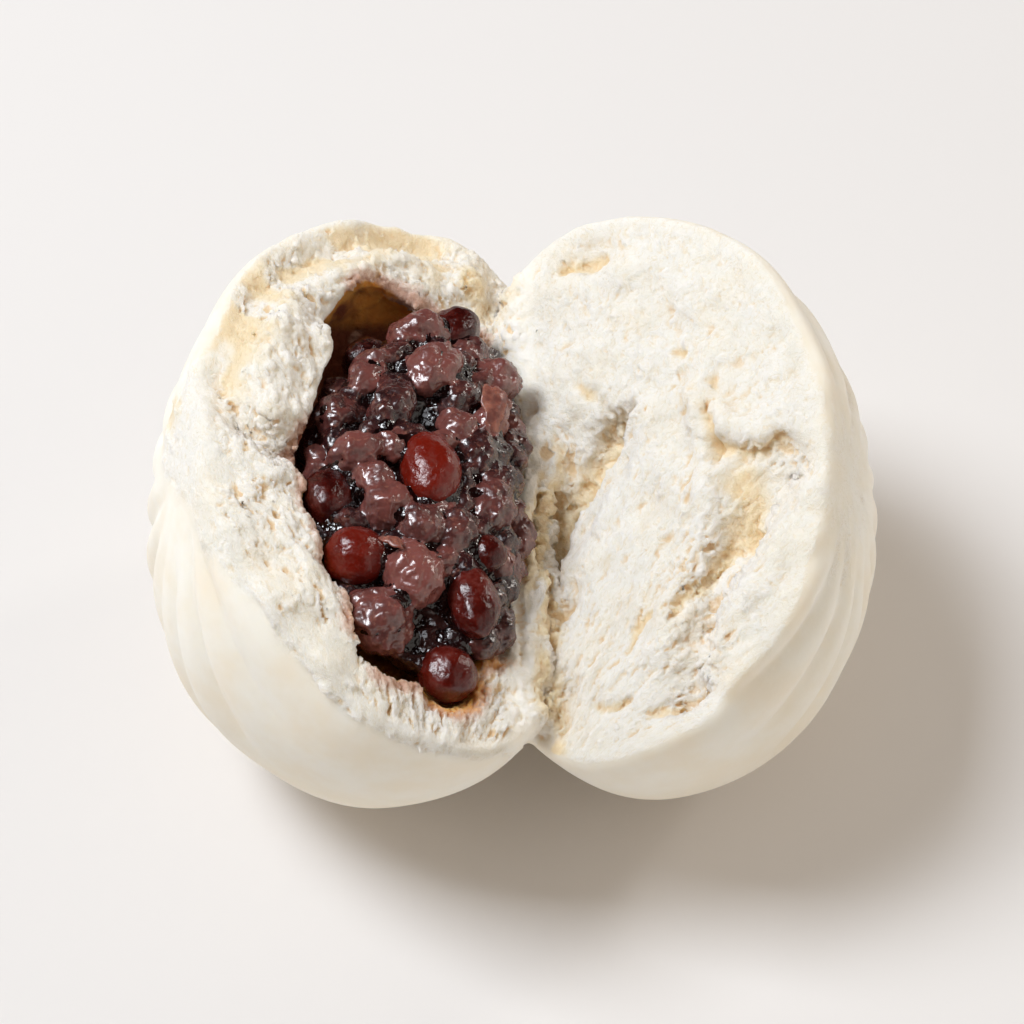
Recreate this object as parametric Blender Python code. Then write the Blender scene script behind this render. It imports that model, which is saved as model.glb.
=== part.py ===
"""Steamed bun with a chunky red bean filling, torn open from the top and laid back like a book.

The bun is first shaped whole: a flat-bottomed dome with pleats that gather at its crown. Each half
is cut from that dome by a ragged torn face, rolled outwards about the crease in the base and joined
to the other half there. The bean filling sits in a hollow of the left half.

A half is described by three lengths: along the crease, out from the base towards the crown, and
proud of the plane that the whole bun would be split on. The world frame has +X to the right half,
+Y along the crease and +Z up, with its origin under the middle, on the table.
"""

import math
import random

import bmesh
import bpy
from mathutils import Matrix, Vector, noise

# Lengths are in metres when they leave a builder; inside one they are in millimetres
MM = 0.001

# The whole bun
BUN_RADIUS = 39.0
BUN_HEIGHT = 45.0
WIDEST_HEIGHT = 13.6
UNDERSIDE_DROP = 19.7
SIDE_FULLNESS = 0.97
UNDERSIDE_FULLNESS = 0.61
PLEATS = 20
PLEAT_DEPTH = 1.5
PLEAT_TWIST = 0.5
CROWN_SHIFT = -0.2
SKIN_UNEVENNESS = 0.6

# The opened bun
FOOT_FLAT = 1.2
TORN_ROUGHNESS = 1.1
NODE_GAP = 0.4

# The filling: a mound in the left half, tilted so that its side by the crease stands highest
MOUND_ALONG = -4.0
MOUND_OUT = 16.8
MOUND_PROUD = 3.5
MOUND_TILT = math.radians(10)
TOP_BEND = 7.0
BOTTOM_BEND = 1.0
MOUND_LENGTH = 26.5
MOUND_WIDTH = 13.0
MOUND_RISE = 7.5
MOUND_DEPTH = 11.0
MOUND_ROUGHNESS = 0.9
SMALL_BEANS = 24

# Fineness of the meshes
DOME_SEGMENTS = 80
DOME_RINGS = 20
TORN_STEP = 1.9


def ridge(height, width, *path):
    """Relief that is highest on a path and dies away over a width to each side; a groove if negative."""
    return ("ridge", height, width, path)


def plateau(height, width, *outline):
    """Relief that is level inside an outline and falls off over a width at its edge."""
    return ("plateau", height, width, outline)


# Each half of the opened bun. Relief paths are (along, out) points on its torn face.
LEFT = {
    "side": -1,
    "roll": 60.0,
    "yaw": 1.5,
    "size": 1.023,
    "crease": 3.5,
    "slant_along": 0.0,
    "slant_out": 0.0,
    "relief": (
        # thick flap that overhangs the hollow, and the crevice that parts it from the wall below
        plateau(2.8, 3.5, (12.5, 38.5), (14.5, 28), (10, 26.5), (0, 31), (-4, 36), (0, 40)),
        ridge(-3.6, 1.7, (-6, 32), (-4, 36.5), (-2, 40)),
        # wall below the flap
        ridge(2.2, 4.0, (-8, 36), (-15, 33.5), (-23, 31), (-29, 27)),
        # fluffy ridge round the top of the hollow, and the smooth furrow outside it
        ridge(2.2, 2.6, (12, 37), (19, 33.5), (25, 28), (30, 21), (31, 10)),
        ridge(-2.4, 2.4, (4, 42.5), (12, 40.5), (20, 37), (27, 31), (33, 23), (36, 15)),
        # raised shoulder beside the crease
        ridge(2.6, 6.5, (-24, -1), (8, -1)),
    ),
}
RIGHT = {
    "side": 1,
    "roll": 63.7,
    "yaw": -1.3,
    "size": 0.973,
    "crease": 4.1,
    "slant_along": 0.16,
    "slant_out": 0.044,
    "relief": (
        # deep step down to the crease, where the filling pulled away
        plateau(-2.6, 3.5, (6, 18), (-1, 16), (-4, 12), (-10, 8), (-16, 8.5), (-21, 4), (-24, -8), (14, -8)),
        # curled flap with a crevice under it
        ridge(1.8, 2.2, (7, 28), (0, 28.7), (-2.5, 33), (-2.5, 38)),
        ridge(-1.2, 1.8, (4, 26), (-3.5, 27), (-6, 33), (-6, 39)),
        # ragged valley that runs down to the lower rim, between two spines
        ridge(-3.4, 2.8, (-7.5, 38), (-13.5, 31.5), (-18, 27.5), (-24, 25), (-32, 23)),
        ridge(1.6, 2.0, (-5, 28), (-16, 25.5), (-25, 21)),
        ridge(1.2, 1.6, (-10, 42), (-22, 33), (-29, 25)),
        ridge(-1.6, 1.6, (33, 13), (28, 15)),
    ),
}

# Beans that show whole: (across the mound's length, across its width, length, width, turn). The
# first two run from -1 to 1 from the mound's middle, and the turn is from the crease, in degrees.
WHOLE_BEANS = (
    (0.79, -0.31, 7.0, 6.2, 30),
    (0.66, 0.13, 5.4, 8.3, 10),
    (0.41, 0.03, 7.6, 7.4, 0),
    (0.37, 0.67, 8.4, 4.4, -20),
    (0.20, 0.42, 7.0, 4.4, -15),
    (0.14, 0.89, 6.0, 5.4, 0),
    (0.57, -0.80, 7.0, 6.0, 20),
    (0.31, -0.65, 5.6, 3.8, 0),
    (0.12, -0.21, 5.0, 4.8, 0),
    (-0.13, 0.06, 9.6, 7.1, 8),
    (0.16, -0.85, 6.4, 4.4, 0),
    (-0.25, 0.92, 7.6, 5.8, 10),
    (-0.32, 0.50, 5.6, 6.0, 0),
    (-0.26, -0.51, 7.4, 5.5, 0),
    (-0.24, -0.97, 7.0, 4.0, 0),
    (-0.54, 0.73, 6.4, 6.2, 0),
    (-0.43, -0.05, 5.6, 7.3, 20),
    (-0.48, -0.57, 6.0, 5.0, 0),
    (-0.64, 0.16, 8.4, 6.8, 15),
    (-0.69, -0.40, 9.2, 5.7, 5),
    (-0.83, 0.36, 7.4, 8.4, 40),
    (-0.70, -0.72, 7.0, 4.0, 0),
    (-0.98, -0.23, 7.0, 7.0, 0),
)


def smooth(low, high, value):
    """0 below low, 1 above high, and an even curve between."""
    t = min(max((value - low) / (high - low), 0.0), 1.0)
    return t * t * (3 - 2 * t)


def to_path(point, path):
    """Distance from a point to the nearest stretch of a path."""
    nearest = math.inf
    for start, end in zip(path, path[1:]):
        start = Vector(start)
        stretch = Vector(end) - start
        share = min(max((point - start).dot(stretch) / stretch.length_squared, 0.0), 1.0)
        nearest = min(nearest, (point - start - share * stretch).length)
    return nearest


def inside(point, outline):
    """Whether a point lies inside a closed outline."""
    within = False
    for start, end in zip(outline, outline[1:] + outline[:1]):
        if (start[1] > point.y) != (end[1] > point.y):
            crossing = start[0] + (point.y - start[1]) / (end[1] - start[1]) * (end[0] - start[0])
            within ^= point.x < crossing
    return within


def torn_proud(half, along, out):
    """How far the torn face of a half stands proud of the splitting plane."""
    proud = half["crease"] + half["slant_along"] * along + half["slant_out"] * out
    point = Vector((along, out))
    for kind, height, width, path in half["relief"]:
        if kind == "ridge":
            proud += height * math.exp(-((to_path(point, path) / width) ** 2))
        else:
            edge = to_path(point, path + path[:1])
            edge = edge if inside(point, path) else -edge
            proud += height * smooth(-width / 2, width / 2, edge)
    rough = noise.fractal(Vector((along / 7, out / 7, half["side"] * 3.7)), 0.7, 2.2, 3)
    return proud + TORN_ROUGHNESS * rough


def half_matrix(half, crease_height):
    """Places a half, which is in millimetres, in the world."""
    turn = Matrix.Rotation(math.radians(half["yaw"]), 4, "Z")
    roll = Matrix.Rotation(half["side"] * math.radians(half["roll"]), 4, "Y")
    scale = Matrix.Scale(half["size"] * MM, 4)
    return Matrix.Translation((0, 0, crease_height * MM)) @ turn @ roll @ scale


def in_half(half, along, out, proud):
    """A point of a half in the half's own axes, before it is rolled."""
    return Vector((-half["side"] * proud, along, out))


def new_object(name, build, matrix=None):
    """An object with the mesh that build puts in an empty bmesh, with matrix applied to the mesh."""
    shape = bmesh.new()
    build(shape)
    if matrix:
        bmesh.ops.transform(shape, matrix=matrix, verts=shape.verts)
    bmesh.ops.recalc_face_normals(shape, faces=shape.faces)
    mesh = bpy.data.meshes.new(name)
    shape.to_mesh(mesh)
    shape.free()
    made = bpy.data.objects.new(name, mesh)
    bpy.context.scene.collection.objects.link(made)
    return made


def skin_rings(shape, rings, low, high):
    """Joins rings of points into a closed skin with a pole at each end."""
    rings = [[shape.verts.new(point) for point in ring] for ring in rings]
    count = len(rings[0])
    for below, above in zip(rings, rings[1:]):
        for k in range(count):
            after = (k + 1) % count
            shape.faces.new((below[k], below[after], above[after], above[k]))
    for ring, pole in ((rings[0], shape.verts.new(low)), (rings[-1], shape.verts.new(high))):
        for k in range(count):
            shape.faces.new((pole, ring[k], ring[(k + 1) % count]))


def fuse(target, others, operation="UNION"):
    """Fuses other objects into the target, or cuts them from it, and applies and removes them."""
    group = bpy.data.collections.new("tools")
    bpy.context.scene.collection.children.link(group)
    for other in others:
        bpy.context.scene.collection.objects.unlink(other)
        group.objects.link(other)
    change = target.modifiers.new("fuse", "BOOLEAN")
    change.operation = operation
    change.operand_type = "COLLECTION"
    change.collection = group
    change.solver = "EXACT"
    depsgraph = bpy.context.evaluated_depsgraph_get()
    result = bpy.data.meshes.new_from_object(target.evaluated_get(depsgraph))
    target.modifiers.clear()
    target.data = result
    for other in others:
        bpy.data.objects.remove(other)
    bpy.data.collections.remove(group)
    keep_largest(target)


def keep_largest(target):
    """Drops loose scraps and fills sealed hollows: only the outer shell of the largest body stays."""
    shape = bmesh.new()
    shape.from_mesh(target.data)
    left = set(shape.verts)
    shells = []
    while left:
        reached = {left.pop()}
        edge = list(reached)
        while edge:
            vertex = edge.pop()
            for link in vertex.link_edges:
                other = link.other_vert(vertex)
                if other in left:
                    left.discard(other)
                    reached.add(other)
                    edge.append(other)
        shells.append(reached)
    largest = max(shells, key=len)
    loose = [vertex for shell in shells if shell is not largest for vertex in shell]
    bmesh.ops.delete(shape, geom=loose, context="VERTS")
    shape.to_mesh(target.data)
    shape.free()


def dome_surface(turn, rise):
    """The plain surface of the whole bun, with rise from -90 to 90 degrees; in radians."""
    spread = max(math.cos(rise), 0.0)
    if rise < 0:
        reach = BUN_RADIUS * spread**UNDERSIDE_FULLNESS
        height = max(WIDEST_HEIGHT + UNDERSIDE_DROP * math.sin(rise), 0.0)
    else:
        reach = BUN_RADIUS * spread**SIDE_FULLNESS
        height = WIDEST_HEIGHT + (BUN_HEIGHT - WIDEST_HEIGHT) * math.sin(rise) ** SIDE_FULLNESS
    return Vector((reach * math.cos(turn), reach * math.sin(turn), height))


def dome_point(base_turn, climb):
    """A point of the pleated bun: climb runs from the middle of its base at 0 to its crown at 1."""
    rise = (climb - 0.5) * math.pi
    turn = base_turn + PLEAT_TWIST * max(climb - 0.56, 0.0)
    facing = Vector((math.cos(rise) * math.cos(turn), math.cos(rise) * math.sin(turn), math.sin(rise)))
    # the pleats were gathered a little to one side of the middle
    facing.y += CROWN_SHIFT * max(facing.z, 0.0) ** 2
    facing.normalize()
    point = dome_surface(math.atan2(facing.y, facing.x), math.asin(facing.z))
    fade = smooth(0.56, 0.74, climb) * (1 - smooth(0.94, 1.0, climb))
    crease = (1 - abs(math.sin(PLEATS * base_turn / 2))) ** 2
    depth = PLEAT_DEPTH * (1 + 0.9 * noise.noise(Vector((3 * math.cos(base_turn), 3 * math.sin(base_turn), 0.5))))
    swell = SKIN_UNEVENNESS * noise.noise(point / 14) * smooth(0.0, 0.3, climb)
    return point + (swell - depth * fade * crease) * facing


def build_dome(shape):
    turns = [2 * math.pi * k / DOME_SEGMENTS for k in range(DOME_SEGMENTS)]
    climbs = [ring / DOME_RINGS for ring in range(1, DOME_RINGS)]
    rings = [[dome_point(turn, climb) for turn in turns] for climb in climbs]
    skin_rings(shape, rings, (0, 0, 0), dome_point(0.0, 1.0))


def torn_block(half):
    """A builder of the block that takes away what lies beyond the torn face of a half."""
    length, width, away = 100.0, 66.0, 50.0

    def build(shape):
        bmesh.ops.create_grid(
            shape,
            x_segments=round(length / TORN_STEP),
            y_segments=round(width / TORN_STEP),
            size=0.5,
        )
        for vertex in shape.verts:
            along = vertex.co.x * length
            out = (vertex.co.y + 0.36) * width
            vertex.co = in_half(half, along, out, torn_proud(half, along, out))
        block = bmesh.ops.extrude_face_region(shape, geom=shape.faces[:])
        for item in block["geom"]:
            if isinstance(item, bmesh.types.BMVert):
                item.co.x = -half["side"] * away

    return build


def build_half(name, half, matrix):
    made = new_object(name, build_dome, matrix)
    fuse(made, [new_object("torn_block", torn_block(half), matrix)], "DIFFERENCE")
    return made


def mound_point(across, aside, lift):
    """A point of the mound from its place in the mound's own tilted box, whose ends bend to the crease."""
    bend = TOP_BEND if across > 0 else BOTTOM_BEND
    aside -= bend * (across / MOUND_LENGTH) ** 2
    out = MOUND_OUT + aside * math.cos(MOUND_TILT) + lift * math.sin(MOUND_TILT)
    proud = MOUND_PROUD - aside * math.sin(MOUND_TILT) + lift * math.cos(MOUND_TILT)
    return in_half(LEFT, MOUND_ALONG + across, out, proud)


def mound_builder(grown, roughness=MOUND_ROUGHNESS, segments=36, rings=14):
    """A builder of the mound under the beans, grown by a length on every side."""

    def build(shape):
        rows = []
        for ring in range(1, rings):
            rise = (ring / rings - 0.5) * math.pi
            height = MOUND_RISE if rise > 0 else MOUND_DEPTH
            row = []
            for k in range(segments):
                turn = 2 * math.pi * k / segments
                facing = Vector((math.cos(rise) * math.cos(turn), math.cos(rise) * math.sin(turn), math.sin(rise)))
                lump = grown + roughness * noise.fractal(facing * 3.5, 0.8, 2.0, 2)
                row.append(
                    mound_point(
                        facing.x * (MOUND_LENGTH + lump),
                        facing.y * (MOUND_WIDTH + lump),
                        facing.z * (height + lump),
                    )
                )
            rows.append(row)
        low = mound_point(0, 0, -MOUND_DEPTH - grown)
        high = mound_point(0, 0, MOUND_RISE + grown)
        skin_rings(shape, rows, low, high)

    return build


def bean_builder(length, width, height, turn, place, segments=8, rings=5):
    """A builder of one bean: a blunt ellipsoid, turned about the mound's upward direction."""
    turn = math.radians(turn)

    def build(shape):
        rows = []
        for ring in range(1, rings):
            rise = (ring / rings - 0.5) * math.pi
            row = []
            for k in range(segments):
                around = 2 * math.pi * k / segments
                across = length / 2 * math.cos(rise) ** 0.9 * math.cos(around)
                aside = width / 2 * math.cos(rise) ** 0.9 * math.sin(around)
                across, aside = (
                    across * math.cos(turn) - aside * math.sin(turn),
                    across * math.sin(turn) + aside * math.cos(turn),
                )
                lift = height / 2 * math.sin(rise)
                row.append(mound_point(place.x + across, place.y + aside, place.z + lift))
            rows.append(row)
        low = mound_point(place.x, place.y, place.z - height / 2)
        high = mound_point(place.x, place.y, place.z + height / 2)
        skin_rings(shape, rows, low, high)

    return build


def on_mound(across, aside):
    """The place on top of the mound at a share of its length and of its width."""
    reach = math.hypot(across, aside)
    if reach > 1:
        across, aside = across / reach, aside / reach
    lift = MOUND_RISE * math.sqrt(max(1 - across**2 - aside**2, 0.0))
    return Vector((across * MOUND_LENGTH, aside * MOUND_WIDTH, lift))


def all_beans():
    """Size, turn and place of every bean: the whole ones, and small ones wherever there is room."""
    beans = [(length, width, turn, on_mound(across, aside)) for across, aside, length, width, turn in WHOLE_BEANS]
    draw = random.Random(7)
    tries = 0
    while len(beans) < len(WHOLE_BEANS) + SMALL_BEANS and tries < 4000:
        tries += 1
        around = draw.uniform(0, 2 * math.pi)
        reach = math.sqrt(draw.uniform(0, 0.92))
        size = draw.uniform(4.0, 6.0)
        turn = draw.uniform(0, 180)
        place = on_mound(reach * math.cos(around), reach * math.sin(around))
        if all((place - other).length > 0.4 * (size + width) for _, width, _, other in beans):
            beans.append((size * 1.15, size, turn, place))
    return beans


def bean_objects(grown, matrix):
    made = []
    for length, width, turn, place in all_beans():
        sunk = place - Vector((0, 0, width * 0.12))
        build = bean_builder(length + 2 * grown, width + 2 * grown, width * 0.85 + 2 * grown, turn, sunk)
        made.append(new_object("bean", build, matrix))
    return made


def build_filling(matrix):
    filling = new_object("bean_filling", mound_builder(0.0), matrix)
    fuse(filling, bean_objects(0.0, matrix))
    return filling


def pocket_builder(along, out, proud, length, width, depth):
    """A builder of an egg-shaped pocket of air in the left half."""

    def build(shape):
        bmesh.ops.create_icosphere(shape, subdivisions=3, radius=1.0)
        for vertex in shape.verts:
            lump = 1 + 0.12 * noise.noise(vertex.co * 2.5)
            place = vertex.co * lump
            vertex.co = in_half(LEFT, along + place.x * length, out + place.y * width, proud + place.z * depth)

    return build


def build_hollow(matrix):
    """What is cut from the dough to seat the filling, with the air left beside it."""
    hollow = new_object("hollow", mound_builder(NODE_GAP), matrix)
    tools = bean_objects(NODE_GAP, matrix)
    for pocket in (
        (-2.0, 18.5, 0.5, 29.0, 14.0, 9.5),
        (15.0, 21.5, 1.0, 11.0, 7.0, 10.0),
        (-26.0, 20.0, 2.0, 6.5, 7.0, 7.0),
    ):
        tools.append(new_object("pocket", pocket_builder(*pocket), matrix))
    fuse(hollow, tools)
    return hollow


def material(name, color, roughness):
    made = bpy.data.materials.new(name)
    made.use_nodes = True
    shader = made.node_tree.nodes["Principled BSDF"]
    shader.inputs["Base Color"].default_value = (*color, 1.0)
    shader.inputs["Roughness"].default_value = roughness
    shader.inputs["Metallic"].default_value = 0.0
    made.diffuse_color = (*color, 1.0)
    return made


def finish(made, finish_material):
    made.data.materials.clear()
    made.data.materials.append(finish_material)
    made.data.shade_smooth()
    made.data.set_sharp_from_angle(angle=math.radians(40))


def underside_reach(half):
    """How far the underside of a rolled half reaches below the crease."""
    roll = math.radians(half["roll"])
    depth = 0.0
    for step in range(201):
        point = dome_surface(0.0, (step / 200 - 0.5) * math.pi)
        depth = max(depth, half["size"] * (math.sin(roll) * point.x - math.cos(roll) * point.z))
    return depth


def main():
    for old in list(bpy.data.objects):
        bpy.data.objects.remove(old)

    crease_height = min(underside_reach(LEFT), underside_reach(RIGHT)) - FOOT_FLAT
    left_matrix = half_matrix(LEFT, crease_height)
    dough = build_half("steamed_dough", LEFT, left_matrix)
    right_half = build_half("right_half", RIGHT, half_matrix(RIGHT, crease_height))
    fuse(dough, [right_half])
    fuse(dough, [build_hollow(left_matrix)], "DIFFERENCE")

    def build_table(shape):
        bmesh.ops.create_cube(shape, size=1.0)
        for vertex in shape.verts:
            vertex.co = (vertex.co.x * 0.2, vertex.co.y * 0.2, (vertex.co.z - 0.5) * 0.05)

    fuse(dough, [new_object("table", build_table)], "DIFFERENCE")
    filling = build_filling(left_matrix)

    middle = Vector([sum(side) / 2 for side in zip(*extremes(dough))])
    for piece in (dough, filling):
        piece.data.transform(Matrix.Translation((-middle.x, -middle.y, 0)))
    finish(dough, material("steamed_dough", (0.90, 0.84, 0.74), 0.75))
    finish(filling, material("bean_filling", (0.10, 0.03, 0.025), 0.30))


def extremes(made):
    """The lowest and the highest corner of an object's box."""
    points = [vertex.co for vertex in made.data.vertices]
    low = [min(point[axis] for point in points) for axis in range(3)]
    high = [max(point[axis] for point in points) for axis in range(3)]
    return low, high


main()
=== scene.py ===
import math
import random

import bmesh
import bpy
import numpy as np
from mathutils import Matrix, Vector, kdtree, noise
from mathutils.bvhtree import BVHTree


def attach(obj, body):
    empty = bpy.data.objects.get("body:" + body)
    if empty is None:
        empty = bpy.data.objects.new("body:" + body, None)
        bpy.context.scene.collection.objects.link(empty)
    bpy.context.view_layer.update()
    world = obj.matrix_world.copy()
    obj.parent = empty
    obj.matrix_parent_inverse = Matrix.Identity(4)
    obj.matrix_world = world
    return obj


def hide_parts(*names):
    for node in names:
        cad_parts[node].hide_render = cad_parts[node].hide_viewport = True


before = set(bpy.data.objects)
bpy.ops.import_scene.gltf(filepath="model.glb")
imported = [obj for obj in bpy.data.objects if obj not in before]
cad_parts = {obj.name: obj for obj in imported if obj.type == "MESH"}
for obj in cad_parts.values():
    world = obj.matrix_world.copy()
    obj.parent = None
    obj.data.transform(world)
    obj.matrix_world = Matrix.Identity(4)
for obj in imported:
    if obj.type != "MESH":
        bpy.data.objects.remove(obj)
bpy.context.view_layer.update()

noise.seed_set(1)  # noise_vector takes its seed from the clock otherwise
mm = 0.001
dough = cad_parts["steamed_dough"]
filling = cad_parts["bean_filling"]

# The whole bun before it was torn, in millimetres and in the axes of one half:
# along the crease, out from the base to the crown, proud of the plane it split on
bun = {
    "radius": 39.0,
    "height": 45.0,
    "widest": 13.6,
    "drop": 19.7,
    "sideFullness": 0.97,
    "underFullness": 0.61,
    "pleats": 20,
    "pleatDepth": 1.0,
    "pleatTwist": 0.5,
    "crownShift": -0.2,
    "unevenness": 0.6,
}
creasePlace = (1.129, 0.218, 28.604)
left = {"side": -1, "roll": 60.0, "yaw": 1.5, "size": 1.023}
right = {"side": 1, "roll": 63.7, "yaw": -1.3, "size": 0.973}


def smooth(low, high, value):
    t = np.clip((value - low) / (high - low), 0.0, 1.0)
    return t * t * (3 - 2 * t)


def halfMatrix(half):
    turn = Matrix.Rotation(math.radians(half["yaw"]), 4, "Z")
    roll = Matrix.Rotation(half["side"] * math.radians(half["roll"]), 4, "Y")
    place = Matrix.Translation(Vector(creasePlace) * mm)
    return place @ turn @ roll @ Matrix.Scale(half["size"] * mm, 4)


# ---- node trees: arithmetic on a wire adds Math nodes, and every other node comes from node() ----


class Wire:
    def __init__(self, graph, made, out):
        self.graph = graph
        self.made = made
        self.socket = made.outputs[out]

    def out(self, name):
        return Wire(self.graph, self.made, name)

    def maths(self, operation, *others):
        values = {k: other for k, other in enumerate((self,) + others)}
        return self.graph.node("ShaderNodeMath", {"operation": operation}, values)

    def __add__(self, other):
        return self.maths("ADD", other)

    def __sub__(self, other):
        return self.maths("SUBTRACT", other)

    def __mul__(self, other):
        return self.maths("MULTIPLY", other)

    def __truediv__(self, other):
        return self.maths("DIVIDE", other)

    def __rsub__(self, other):
        return self.graph.node("ShaderNodeMath", {"operation": "SUBTRACT"}, {0: other, 1: self})

    def __rtruediv__(self, other):
        return self.graph.node("ShaderNodeMath", {"operation": "DIVIDE"}, {0: other, 1: self})

    __radd__ = __add__
    __rmul__ = __mul__

    def ease(self, low, high, start=0.0, end=1.0):
        return self.graph.node(
            "ShaderNodeMapRange",
            {"interpolation_type": "SMOOTHSTEP"},
            {"Value": self, "From Min": low, "From Max": high, "To Min": start, "To Max": end},
        )


class Graph:
    def __init__(self, tree):
        self.tree = tree

    def node(self, kind, settings=None, inputs=None, out=0):
        made = self.tree.nodes.new(kind)
        for key, value in (settings or {}).items():
            setattr(made, key, value)
        for key, value in (inputs or {}).items():
            self.feed(made, key, value)
        return Wire(self, made, out)

    def feed(self, made, key, value):
        if isinstance(key, int):
            socket = made.inputs[key]
        else:
            fitting = [s for s in made.inputs if key in (s.name, s.identifier) and s.enabled]
            socket = fitting[0]
        if isinstance(value, Wire):
            self.tree.links.new(value.socket, socket)
        else:
            socket.default_value = value

    def mix(self, factor, first, second):
        return self.node(
            "ShaderNodeMix",
            {"data_type": "RGBA"},
            {"Factor_Float": factor, "A_Color": tint(first), "B_Color": tint(second)},
            2,
        )

    def vector(self, operation, first, second=None, scale=None):
        inputs = {0: first}
        if second is not None:
            inputs[1] = second
        if scale is not None:
            inputs["Scale"] = scale
        return self.node("ShaderNodeVectorMath", {"operation": operation}, inputs)

    def noise(self, place, scale, detail=2.0, roughness=0.5, distortion=0.0, out="Fac"):
        inputs = {"Vector": place, "Scale": scale, "Detail": detail}
        inputs.update({"Roughness": roughness, "Distortion": distortion})
        return self.node("ShaderNodeTexNoise", {}, inputs, out)

    def wobble(self, place, scale, detail, roughness):
        # a vector that wanders round zero
        color = self.noise(place, scale, detail, roughness, out="Color")
        return self.vector("SUBTRACT", color, (0.5, 0.5, 0.5))

    def cells(self, place, scale):
        return self.node("ShaderNodeTexVoronoi", {}, {"Vector": place, "Scale": scale}, "Distance")

    def part(self, place, axis):
        return self.node("ShaderNodeSeparateXYZ", {}, {0: place}, axis)

    def kept(self, name, out="Fac"):
        return self.node("ShaderNodeAttribute", {"attribute_name": name}, out=out)

    def bump(self, height, strength, distance):
        inputs = {"Strength": strength, "Distance": distance, "Height": height}
        self.feed(self.shader, "Normal", self.node("ShaderNodeBump", {}, inputs, "Normal"))


def tint(color):
    return color if isinstance(color, Wire) else (*color, 1.0)


def srgb(red, green, blue):
    def linear(value):
        value /= 255
        return value / 12.92 if value <= 0.04045 else ((value + 0.055) / 1.055) ** 2.4

    return tuple(linear(value) for value in (red, green, blue))


def shaderGraph(name):
    made = bpy.data.materials.new(name)
    made.use_nodes = True
    graph = Graph(made.node_tree)
    graph.shader = made.node_tree.nodes["Principled BSDF"]
    return made, graph


def soften(shader, weight, radius, scale):
    shader.inputs["Subsurface Weight"].default_value = weight
    shader.inputs["Subsurface Radius"].default_value = radius
    shader.inputs["Subsurface Scale"].default_value = scale


def geometryTree(name, inputs):
    # the inputs are the sizes by name; where one is an object or a material, its socket is of that kind
    tree = bpy.data.node_groups.new(name, "GeometryNodeTree")
    tree.interface.new_socket("Geometry", in_out="INPUT", socket_type="NodeSocketGeometry")
    for label, value in inputs.items():
        kind = "NodeSocketInt" if isinstance(value, int) else "NodeSocketFloat"
        if isinstance(value, bpy.types.Object):
            kind = "NodeSocketObject"
        if isinstance(value, bpy.types.Material):
            kind = "NodeSocketMaterial"
        tree.interface.new_socket(label, in_out="INPUT", socket_type=kind)
    tree.interface.new_socket("Geometry", in_out="OUTPUT", socket_type="NodeSocketGeometry")
    graph = Graph(tree)
    graph.start = tree.nodes.new("NodeGroupInput")
    graph.end = tree.nodes.new("NodeGroupOutput")
    return tree, graph


def given(graph, label):
    return Wire(graph, graph.start, label)


def named(graph, name, kind="FLOAT"):
    return graph.node("GeometryNodeInputNamedAttribute", {"data_type": kind}, {"Name": name})


def randomVector(graph, low, high, seed):
    inputs = {"Min": low, "Max": high, "Seed": seed}
    return graph.node("FunctionNodeRandomValue", {"data_type": "FLOAT_VECTOR"}, inputs)


def scatter(graph, density, seed, shape, turn, scale):
    inputs = {"Mesh": given(graph, "Geometry"), "Density": density, "Seed": seed}
    spread = graph.node(
        "GeometryNodeDistributePointsOnFaces", {"distribute_method": "RANDOM"}, inputs, "Points"
    )
    inputs = {"Points": spread, "Instance": shape, "Rotation": turn, "Scale": scale}
    return graph.node("GeometryNodeInstanceOnPoints", {}, inputs)


def joinParts(graph, *parts):
    joined = graph.node("GeometryNodeJoinGeometry")
    for part in parts:
        graph.tree.links.new(part.socket, joined.made.inputs[0])
    return joined


def pushOut(graph, height):
    # moves the surface along the way it faces
    facing = graph.node("GeometryNodeInputNormal")
    inputs = {"Geometry": given(graph, "Geometry"), "Offset": graph.vector("SCALE", facing, scale=height)}
    return graph.node("GeometryNodeSetPosition", {}, inputs)


def endTree(graph, geometry):
    realised = graph.node("GeometryNodeRealizeInstances", {}, {"Geometry": geometry})
    inputs = {"Geometry": realised, "Material": given(graph, "Material")}
    graph.feed(graph.end, 0, graph.node("GeometryNodeSetMaterial", {}, inputs))
    return graph.tree


def runTree(piece, tree, inputs):
    change = piece.modifiers.new(tree.name, "NODES")
    change.node_group = tree
    for item in tree.interface.items_tree:
        if item.in_out == "INPUT" and item.name in inputs:
            change[item.identifier] = inputs[item.name]
    bake(piece)


def bake(piece):
    bpy.context.view_layer.update()
    depsgraph = bpy.context.evaluated_depsgraph_get()
    result = bpy.data.meshes.new_from_object(piece.evaluated_get(depsgraph))
    piece.modifiers.clear()
    piece.data = result


# ---- meshes ----


def newPiece(name, mesh):
    piece = bpy.data.objects.new(name, mesh)
    bpy.context.scene.collection.objects.link(piece)
    return piece


def editMesh(mesh, change):
    shape = bmesh.new()
    shape.from_mesh(mesh)
    change(shape)
    shape.to_mesh(mesh)
    shape.free()


def mergedCopy(name, node):
    mesh = node.data.copy()
    editMesh(mesh, lambda shape: bmesh.ops.remove_doubles(shape, verts=shape.verts, dist=1e-6))
    mesh.materials.clear()
    return newPiece(name, mesh)


def remesh(piece, voxel):
    change = piece.modifiers.new("remesh", "REMESH")
    change.mode = "VOXEL"
    change.voxel_size = voxel
    bake(piece)


def coordinates(mesh):
    points = np.empty(len(mesh.vertices) * 3)
    mesh.vertices.foreach_get("co", points)
    return points.reshape(-1, 3)


def setCoordinates(mesh, points):
    mesh.vertices.foreach_set("co", points.ravel())
    mesh.update()


def normals(mesh):
    values = np.empty(len(mesh.vertices) * 3)
    mesh.vertices.foreach_get("normal", values)
    return values.reshape(-1, 3)


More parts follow.
